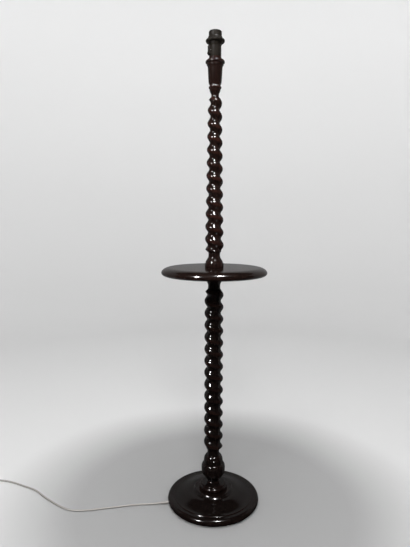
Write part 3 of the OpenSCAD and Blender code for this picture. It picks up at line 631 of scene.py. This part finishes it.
def twist(z0, z1, ends, shoulders, ridge, origin):
    """Rows of the barley twist, and how far each point is rubbed and takes painted sheen: one ridge
    winds down to the right round the blank, cut off by rounded shoulders as the turner leaves them."""
    count = round((z1 - z0) / TWIST_PITCH * TWIST_ROWS)
    rows, wear_and_sheen = [], []
    for k in range(count + 1):
        z = mix(z0, z1, k / count)
        full = mix(*ridge, k / count)
        blank = full
        if z < z0 + shoulders[0]:
            blank = mix(ends[0], full, sin(pi / 2 * (z - z0) / shoulders[0]))
        if z > z1 - shoulders[1]:
            blank = mix(ends[1], full, sin(pi / 2 * (z1 - z) / shoulders[1]))
        row = []
        for i in range(TWIST_SIDES):
            turn = i / TWIST_SIDES
            depth = TWIST_DEPTH * hollow((z - origin) / TWIST_PITCH + turn)
            r = min(blank, full - depth)
            row.append((r * cos(tau * turn), r * sin(tau * turn), z))
            # the ridge's crest takes the rubbed tone: rubbed polish and painted sheen
            wear_and_sheen.append(max(0, 1 - depth / RUBBED_SHEEN_DEPTH))
        rows.append(row)
    return rows, wear_and_sheen


def column(name, low, twisted, high, bore, node):
    """A turned and twisted column, hollow for the flex."""
    rows, wear_and_sheen = twisted
    low_wear_and_sheen, high_wear_and_sheen = rubbed_and_sheen(low), rubbed_and_sheen(high)
    amounts = [w for w in low_wear_and_sheen for _ in range(TWIST_SIDES)] + wear_and_sheen
    amounts += [w for w in high_wear_and_sheen for _ in range(TWIST_SIDES)]
    amounts += [0.0] * (TWIST_SIDES * len(bore))
    rows = turned(low, TWIST_SIDES) + rows + turned(high, TWIST_SIDES) + turned(bore, TWIST_SIDES)
    # the upper column takes the lighter copy, painted light, and the lower one the darker copy, painted
    # shade
    wood = LIT_UPPER_WOOD if node == "upper_column" else SHADED_LOWER_WOOD
    piece(name, skin(node, rows, True, wear_and_sheen=amounts), wood, "lamp", node)


def lower_column():
    """Thumb-moulded foot, bead, vase, shoulder, neck, twist, neck, flare and ring."""
    vase_z = BASE_MID_H + 26
    full_z = vase_z + 36
    shoulder_z = vase_z + 62
    neck_z = shoulder_z + 36
    z0, z1 = neck_z + 11, TABLE_Z - 44
    end_r, top_r = LOWER_NECK_R + 2.2, LOWER_NECK_R + 1.8
    cove_r = 22.5
    vase_top = (SHOULDER_R, full_z + 9, VASE_R - SHOULDER_R, shoulder_z - full_z - 10.5)
    shoulder = (cove_r, shoulder_z + 7, SHOULDER_R - cove_r, 18.5)
    foot = [(FOOT_TENON_R, HOLLOW_TOP), (FOOT_TENON_R, BASE_MID_H)]
    foot += arc(FOOT_R - 8, BASE_MID_H + 7, 8, 7, -85, 72, 32)
    foot += arc(FOOT_R - 8.2, BASE_MID_H + 16, 1.4, 1.4, -10, 85, 8)
    foot += arc(FOOT_R - 9, vase_z - 6.4, 16, 1.6, -92, -165, 12)
    foot += arc(18.9, vase_z - 4.6, 3.2, 3, -40, 80, 14)
    foot += ogee(LOWER_NECK_R - 0.6, vase_z - 1, VASE_R, full_z, 24, 0.8)
    foot += arc(*vase_top, 0, 20, 5) + quirk(VASE_R - 0.7, full_z + 15.5)
    foot += arc(*vase_top, 30, 88, 16)
    foot += arc(*shoulder, 0, 24, 5) + quirk(SHOULDER_R - 1.1, shoulder_z + 16)
    foot += arc(*shoulder, 34, 90, 14)
    foot += arc(cove_r, neck_z, cove_r - LOWER_NECK_R, neck_z - shoulder_z - 25.5, -90, -180, 8)
    foot += arc(end_r, neck_z + 1, end_r - LOWER_NECK_R, z0 - neck_z - 1, 180, 90, 8)
    ring_z = TABLE_Z - 8.5
    top = arc(top_r, TABLE_Z - 34, top_r - LOWER_NECK_R, 10, -90, -180, 5)
    top += ogee(LOWER_NECK_R, ring_z - 24.5, RING_R - 2, ring_z, 20, 1.15)
    top += arc(RING_R - 1.5, ring_z + 1.5, 1.5, 1.5, -90, 0, 5)
    top += [(RING_R, TABLE_Z - 0.8), (RING_R - 0.8, TABLE_Z), (TABLE_TENON_R, TABLE_Z),
            (TABLE_TENON_R, UPPER_Z + 25)]
    twisted = twist(z0, z1, (end_r, top_r), (12, 14), LOWER_RIDGE, z0 + LOWER_ORIGIN)
    column("lower_column_twisted", foot[:-1], twisted, top,
           [(WIRE_R, UPPER_Z + 25), (WIRE_R, HOLLOW_TOP)], "lower_column")


def upper_column():
    """Ring, flare, neck, tapering twist, slim neck, cove, step and bead."""
    neck_z = UPPER_Z + 38
    z0, z1 = neck_z + 10, CUP_Z - 35
    end_r, top_r = UPPER_NECK_R + 2.4, SLIM_NECK_R + 0.6
    ring_z = UPPER_Z + 13.5
    socket_r, socket_z = TABLE_TENON_R + FIT, UPPER_Z + 25.5
    low = [(socket_r, UPPER_Z), (RING_R - 1.2, UPPER_Z), (RING_R, UPPER_Z + 1.2)]
    low += arc(RING_R - 1.5, ring_z - 1.5, 1.5, 1.5, 0, 90, 5)
    low += ogee(UPPER_NECK_R, neck_z, RING_R - 2, ring_z + 0.3, 20, 1.15)[::-1]
    low += arc(end_r, neck_z + 1, end_r - UPPER_NECK_R, z0 - neck_z - 1, 180, 90, 8)
    high = [(SLIM_NECK_R, CUP_Z - 33)]
    high += ogee(SLIM_NECK_R, CUP_Z - 30.5, BEAD_R - 3, CUP_Z - 15, 20, 1.3)
    high += [(BEAD_R - 2.8, CUP_Z - 12)]
    high += arc(BEAD_R - 3.2, CUP_Z - 7, 3.2, 4, -80, 80, 20)
    high += [(BEAD_R - 3, CUP_Z - 2.2), (BEAD_R - 3, CUP_Z), (CUP_TENON_R, CUP_Z),
             (CUP_TENON_R, CUP_Z + 28)]
    twisted = twist(z0, z1, (end_r, top_r), (14, 15), UPPER_RIDGE, z0 + UPPER_ORIGIN)
    column("upper_column_twisted", low[:-1], twisted, high,
           [(WIRE_R, CUP_Z + 28), (WIRE_R, socket_z), (socket_r, socket_z)], "upper_column")


# ---------------------------------------------------------------- base, table and cup

def keyhole(r, x0, x1):
    """A slot along the flex, open below and round at the top."""
    profile = [(-r, PAD_T - 1), (r, PAD_T - 1)] + arc(0, EXIT_Z, r, r, 0, 180, 20)
    return prism(profile, x0, x1, TURN_OUT)


def base_disc():
    """The turned base: rounded rim, step, S-shaped dome and a raised middle for the column,
    hollow below for the wiring."""
    mid = (RIM_H + PAD_T) / 2
    dome_r, brow_r = 67, 58
    dome_z = RIM_H + RIM_STEP + (BASE_MID_H - RIM_H - RIM_STEP) * 0.62
    step_r = BASE_R - RIM_BAND
    outline = [(HOLLOW_R, PAD_T)]
    outline += arc(BASE_R - RIM_ROUND, mid, RIM_ROUND, mid - PAD_T, -90, 90, 36)
    outline += [(step_r + 1.5, RIM_H), (step_r + 0.5, RIM_H + RIM_STEP * 0.7),
                (step_r - 1, RIM_H + RIM_STEP)]
    outline += dome(step_r - 2, RIM_H + RIM_STEP, dome_r, dome_z)
    outline += [(dome_r - 2, dome_z + 0.6), (brow_r + 0.6, BASE_MID_H - 1)]
    outline += arc(brow_r - 0.8, BASE_MID_H - 1, 1.2, 1.2, 20, 42, 5)
    tenon_r = FOOT_TENON_R + FIT
    outline += [(tenon_r, BASE_MID_H), (tenon_r, HOLLOW_TOP), (HOLLOW_R, HOLLOW_TOP)]
    tools = [keyhole(CORD_R + 0.5, 0, BASE_R - BUSH_IN + 2),
             keyhole(BUSH_R + 0.1, BASE_R - BUSH_IN, BASE_R + 5),
             block(CLIP_X - 5, CLIP_X + 5, 13.5, PAD_T - 1, 3.4, TURN_OUT)]
    mesh = cut(turned_skin("base_disc", outline, 240), tools)
    piece("base_disc_turned", mesh, SHADED_LOWER_WOOD, "lamp", "base_disc")


def base_baize():
    """The round of baize that the base stands on."""
    r = BASE_R - RIM_ROUND - 3
    outline = [(0.5, PAD_T), (r - 6, PAD_T)] + arc(r - 0.5, PAD_T / 2, 0.5, PAD_T / 2, 90, -90, 8)
    outline += [(r - 6, 0), (0.5, 0)]
    piece("base_baize", skin("base_baize", turned(outline[::-1])), BAIZE, "lamp", "base_pad")


def table_top():
    """The round table: its edge swells fullest below the middle of its thickness."""
    edge = TABLE_Z + TABLE_T * 0.37
    socket_r = TABLE_TENON_R + FIT
    outline = [(socket_r, TABLE_Z)]
    outline += arc(TABLE_R - TABLE_UNDER, edge, TABLE_UNDER, edge - TABLE_Z, -90, 0, 20)
    outline += arc(TABLE_R - TABLE_ROUND, edge, TABLE_ROUND, UPPER_Z - edge, 0, 90, 32)[1:]
    outline += [(socket_r, UPPER_Z)]
    piece("table_top_turned", turned_skin("table_top", outline, 240), LIT_TABLE_WOOD, "lamp",
          "table_top")


def candle_cup():
    """The cup: foot, tapering body, a turned line, and a flare up to the rounded collar,
    bored for its fittings."""
    outline = [(CUP_TENON_R + FIT, CUP_Z), (BEAD_R - 3, CUP_Z), (BEAD_R - 1.4, CUP_Z + 2.4),
               (CUP_FOOT_R - 0.7, CUP_Z + 5.4), (CUP_FOOT_R, CUP_Z + 8.5),
               (CUP_R - 0.9, CUP_Z + 29)]
    outline += flare(CUP_R, CUP_Z + 47, CUP_R + 1.6, CUP_Z + 57)
    outline += arc(CUP_R + 1.8, CUP_Z + 58.6, 1.4, 1.5, -70, 75, 10)
    outline += flare(CUP_R + 2.4, CUP_Z + 60.2, COLLAR_R, CUP_Z + 65)
    outline += arc(COLLAR_R - 8, CUP_Z + 67, 8, 7.2, 0, 75, 16)
    outline += [(LEDGE_R, HOLDER_Z - 4.6), (LEDGE_R, HOLDER_Z - 0.6),
                (LEDGE_R - 0.6, HOLDER_Z), (PLATE_R, HOLDER_Z), (PLATE_R, HOLDER_Z - PLATE_T),
                (NIPPLE_R, HOLDER_Z - PLATE_T), (NIPPLE_R, HOLDER_Z - NIPPLE_IN),
                (WIRE_R, HOLDER_Z - NIPPLE_IN), (WIRE_R, CUP_Z + 28.5),
                (CUP_TENON_R + FIT, CUP_Z + 28.5)]
    piece("candle_cup_turned", turned_skin("candle_cup", outline), LIT_UPPER_WOOD, "lamp",
          "candle_cup")


# ---------------------------------------------------------------- lampholder

AT_SWITCH = turn_z(SWITCH_SIDE) @ Matrix.Translation((0, 0, SWITCH_Z))


def housing():
    """The switch housing: a rounded block whose front edges are softened."""
    rows = []
    for x, inset in [(8, 0)] + [(SWITCH_X - 1.6 + 1.6 * sin(a), 1.6 - 1.6 * cos(a))
                                for a in [radians(15 * i) for i in range(7)]]:
        half_w, half_h, corner = SWITCH_W / 2 - inset, SWITCH_H / 2 - inset, 3.2 - inset / 2
        row = []
        for sy, sz, start in ((1, -1, -90), (1, 1, 0), (-1, 1, 90), (-1, -1, 180)):
            row += [(x, y, z) for y, z in arc(sy * (half_w - corner), sz * (half_h - corner),
                                              corner, corner, start, start + 90, 8)]
        rows.append(row)
    return skin("housing", rows, place=AT_SWITCH)


def holder_body():
    """The moulded lower body with its switch housing, and a bead where the skirt meets it."""
    outline = [(BODY_R - 1.5, HOLDER_Z), (BODY_R - 0.4, HOLDER_Z + 0.5), (BODY_R, HOLDER_Z + 1.6),
               (BODY_R, MANTLE_Z - 7)]
    outline += ogee(BODY_R, MANTLE_Z - 6.5, MANTLE_R - 0.6, MANTLE_Z - 1.5, 10)
    outline += [(MANTLE_R - 0.6, MANTLE_Z), (SKIRT_BORE_R - 0.1, MANTLE_Z),
                (SKIRT_BORE_R - 0.1, MANTLE_Z + SPIGOT_H)]
    solid = cut(skin("holder_body", turned(outline, 128)), [housing()], "UNION")
    grub = turn_z(SWITCH_SIDE + 180) @ along_x(0, 0, HOLDER_Z + 2)
    pin = AT_SWITCH @ Matrix.Translation((PIN_X, 0, 0)) @ Matrix.Rotation(pi / 2, 4, "X")
    tools = [rod(BODY_R - BODY_WALL, HOLDER_Z + 4, BLOCK_Z + 1, sides=96),
             rod(BLOCK_R, BLOCK_Z, MANTLE_Z + 10, sides=96),
             rod(7.6, HOLDER_Z - 1, HOLDER_Z + 5),
             rod(1.55, 0, BODY_R + 2, grub),
             rod(1, -SWITCH_W, SWITCH_W, pin),
             block(8, 28, ROCKER_W / 2 + 0.4, -ROCKER_H / 2 - 1.2, ROCKER_H / 2 + 1.2, AT_SWITCH)]
    piece("holder_body_moulded", cut(solid, tools), PHENOLIC, "lamp", "holder_body", 30)


def switch_rocker():
    """The rocker: a dished face with fine finger ribs, soft edges, and a bore for its pin."""
    face = []
    for i in range(49):
        t = mix(-1, 1, i / 48)
        rib = 0.25 * max(0, cos(tau * 5.5 * t)) if abs(t) > 0.35 else 0
        face.append((5.7 + 1.9 * t * t + rib, t * (ROCKER_H / 2 - 0.5)))
    profile = [(-5, 3), (-5, -3), (-2, 1 - ROCKER_H / 2), (5, -ROCKER_H / 2)] + face
    profile += [(5, ROCKER_H / 2), (-2, ROCKER_H / 2 - 1)]
    rows = []
    for y, inset in ((-3.5, 0.5), (-3.35, 0.15), (-3, 0), (3, 0), (3.35, 0.15), (3.5, 0.5)):
        shrink = 1 - inset / 8
        rows.append([(1 + (x - 1) * shrink, y, z * shrink) for x, z in profile])
    place = (AT_SWITCH @ Matrix.Translation((PIN_X, 0, 0))
             @ Matrix.Rotation(radians(-ROCKER_TILT), 4, "Y"))
    pin = rod(1.05, -ROCKER_W, ROCKER_W, place @ Matrix.Rotation(pi / 2, 4, "X"))
    piece("switch_rocker_moulded", cut(skin("switch_rocker", rows, place=place), [pin]),
          SWITCH_PHENOLIC, "rocker", "switch_rocker", 30)


def threaded(outer, inner, pitch, depth, band, sides=128):
    """Rows of a ring with a right-handed thread cut into it between the heights of a band."""
    rows = []
    for outline, reach in ((outer, 1), (inner, 0)):
        for r, z in outline:
            row = []
            for i in range(sides):
                turn = i / sides
                fade = max(0, min(1, (z - band[0]) / 1.2, (band[1] - z) / 1.2)) * reach
                groove = depth * fade * (1 - cos(tau * (z / pitch - turn))) / 2
                row.append(((r - groove) * cos(tau * turn), (r - groove) * sin(tau * turn), z))
            rows.append(row)
    return rows


def upright(r, z0, z1, step):
    """A straight wall with points close enough together to carry a thread."""
    count = round(abs(z1 - z0) / step)
    return [(r, mix(z0, z1, i / count)) for i in range(count + 1)]


def skirt():
    """The lampholder's skirt: a lip, the thread of the shade ring, a plain collar and a round
    rim, open at the top for the bulb."""
    outer = [(LIP_R - 0.4, MANTLE_Z), (LIP_R, MANTLE_Z + 0.4), (LIP_R, THREAD_Z)]
    outer += upright(MANTLE_R, THREAD_Z, COLLAR_Z, 0.35) + [(MANTLE_R - 0.3, COLLAR_Z)]
    outer += arc(MANTLE_R - 2.8, HOLDER_TOP - 2.5, 2.5, 2.5, 0, 90, 12)
    mouth_r = SHELL_R + SHELL_T + 0.5
    inner = [(mouth_r, HOLDER_TOP), (mouth_r, HOLDER_TOP - 7), (SKIRT_BORE_R, HOLDER_TOP - 7),
             (SKIRT_BORE_R, MANTLE_Z)]
    rows = threaded(outer, inner, 2.5, 0.45, (THREAD_Z, COLLAR_Z))
    piece("holder_skirt_moulded", skin("holder_skirt", rows, True), PHENOLIC, "lamp",
          "holder_mantle", 30)


def shade_ring():
    """The shade ring: a round flank with finger grips and a conical hub, on the skirt's thread."""
    hub_r, hub_z = MANTLE_R + 1.3, THREAD_Z + RING_H
    outline = [(hub_r, THREAD_Z), (hub_r + 0.3, THREAD_Z + 0.3), (hub_r + 0.3, THREAD_Z + 2)]
    outline += arc(SHADE_RING_R - 6.5, THREAD_Z + 8, 6.5, 5.6, -90, 0, 16)
    outline += arc(SHADE_RING_R - 1.5, THREAD_Z + 9.2, 1.5, 1.5, 0, 50, 6)
    outline += [(hub_r + 4.3, THREAD_Z + 12.6), (hub_r + 2.7, THREAD_Z + 14.1),
                (hub_r + 1.5, THREAD_Z + 15.6), (hub_r + 0.7, THREAD_Z + 17.1),
                (hub_r + 0.3, THREAD_Z + 18.4)]
    outline += arc(hub_r - 0.8, hub_z - 0.9, 0.9, 0.9, 20, 90, 6)
    outline += [(MANTLE_R + FIT, hub_z), (MANTLE_R + FIT, THREAD_Z)]
    # grooves run through the widest part of the ring, so that fingers can turn it
    grips, each, grip_from_r, grip_depth = 36, 8, 27, 0.5
    rows = []
    for row in turned(outline, grips * each):
        out = []
        for i, (x, y, z) in enumerate(row):
            wide = Vector((x, y)).length > grip_from_r
            depth = grip_depth * max(0, cos(tau * i / each)) if wide else 0
            shrink = 1 - depth / SHADE_RING_R
            out.append((x * shrink, y * shrink, z))
        rows.append(out)
    piece("shade_ring_moulded", skin("shade_ring", rows, True), PHENOLIC, "ring", "shade_ring",
          30)


def screw_shell():
    """The brass shell for the bulb, rolled with its thread out of thin sheet."""
    low, top = SHELL_Z + SHELL_T, SHELL_Z + SHELL_H
    outer = [(SHELL_R + SHELL_T, SHELL_Z)] + upright(SHELL_R + SHELL_T, SHELL_Z + 0.3, top, 0.45)
    inner = upright(SHELL_R, top, low, 0.45) + [(9, low), (9, SHELL_Z)]
    rows = threaded(outer + inner, [], 3.63, 0.7, (low, top))
    piece("screw_shell_rolled", skin("screw_shell", rows, True), BRASS, "lamp", "screw_shell",
          45)


# ---------------------------------------------------------------- stage

def sweep():
    """A round sweep of paper with painted shade and light: its floor is greyest under the lamp, and its
    wall whitest at the top."""
    wall_r, bend_r, high = 4.2, 1.8, 4.6
    line = [(0.001, 0), (0.6, 0), (1.5, 0)]
    line += [(wall_r - bend_r + bend_r * sin(a), bend_r - bend_r * cos(a))
             for a in [radians(6 * i) for i in range(16)]] + [(wall_r, high)]
    made, tree, shader = material("studio_paper_painted_shade", Roughness=0.8, Specular_IOR_Level=0.0)
    spot = add(tree, "ShaderNodeSeparateXYZ",
               Vector=add(tree, "ShaderNodeTexCoord").outputs["Object"]).outputs
    across = add(tree, "ShaderNodeCombineXYZ", i0=spot[0], i1=spot[1]).outputs[0]
    away = add(tree, "ShaderNodeVectorMath", {"operation": "LENGTH"}, i0=across).outputs["Value"]
    along = add(tree, "ShaderNodeMath", {"operation": "ADD"}, i0=away, i1=spot[2]).outputs[0]
    share = add(tree, "ShaderNodeMath", {"operation": "DIVIDE", "1": wall_r + high},
                i0=along).outputs[0]
    # painted shade under the lamp and painted light up the wall
    tree.links.new(ramp(tree, share, PAPER_SHADE_AND_LIGHT), shader.inputs["Base Color"])
    sides = 96
    for name, start, end in (("sweep_back", 0, 0.5), ("sweep_front", 0.5, 1)):
        turns = [mix(start, end, i / sides) for i in range(sides + 1)]
        verts = [(r * cos(tau * t), r * sin(tau * t), z) for r, z in line for t in turns]
        wide = sides + 1
        faces = [[k * wide + i, k * wide + i + 1, (k + 1) * wide + i + 1, (k + 1) * wide + i]
                 for k in range(len(line) - 1) for i in range(sides)]
        mesh = bpy.data.meshes.new(name)
        mesh.from_pydata(verts, [], faces)
        mesh.shade_smooth()
        mesh.materials.append(made)
        half = bpy.data.objects.new(name, mesh)
        bpy.context.scene.collection.objects.link(half)
        # the room in front of a polished piece is dark, so this half doesn't mirror in it
        half.visible_glossy = name == "sweep_back"


def soft_light(name, place, target, size, power, mirrored=False):
    """A round lamp. One that is mirrored only shows as a glint, and the others only as light."""
    data = bpy.data.lights.new(name, "AREA")
    data.shape = "DISK"
    data.size = size
    data.energy = power
    made = bpy.data.objects.new(name, data)
    bpy.context.scene.collection.objects.link(made)
    made.location = place
    made.rotation_euler = (Vector(target) - Vector(place)).to_track_quat("-Z", "Y").to_euler()
    made.visible_glossy = mirrored
    made.visible_diffuse = not mirrored


def light():
    """Wide soft light from above, a lamp aimed at the paper, a weak one near the lampholder,
    and two small ones that give the polish its glints."""
    world = bpy.data.worlds.new("studio")
    world.use_nodes = True
    world.node_tree.nodes["Background"].inputs["Color"].default_value = srgb("#9fa3a8")
    world.node_tree.nodes["Background"].inputs["Strength"].default_value = 0.1
    bpy.context.scene.world = world
    soft_light("ceiling", (0, -0.4, 4.4), (0, 0, 0), 3.6, 110)
    soft_light("front", (0, -3.4, 3.0), (0, 4.2, 4.6), 1.8, 212)
    soft_light("key", (-0.5, -1.1, 2.3), (0, 0, 1.4), 0.6, 14)
    soft_light("glint_left", (-1.8, -2.0, 2.8), (0, 0, 0.7), 0.36, 500, True)
    soft_light("glint_right", (0.3, -0.75, 2.6), (0, 0, 0.7), 0.3, 220, True)
    bpy.context.scene.view_settings.view_transform = "Standard"


def camera():
    """The photograph's viewing angle: eye height 0.93 m, looking 6.4 degrees down."""
    data = bpy.data.cameras.new("camera")
    data.sensor_width = SENSOR
    data.lens = FOCAL_PX / FRAME_PX * SENSOR
    data.clip_start = 0.05
    made = bpy.data.objects.new("camera", data)
    bpy.context.scene.collection.objects.link(made)
    made.matrix_world = (Matrix.Translation(EYE)
                         @ Matrix.Rotation(radians(90 - LOOK_DOWN), 4, "X")
                         @ Matrix.Rotation(radians(ROLL), 4, "Z"))
    bpy.context.scene.camera = made


camera()
flex(plug_body(), coil_tie())
inner_leads()
cord_bush()
base_disc()
base_baize()
lower_column()
table_top()
upper_column()
candle_cup()
holder_body()
switch_rocker()
skirt()
shade_ring()
screw_shell()
sweep()
light()
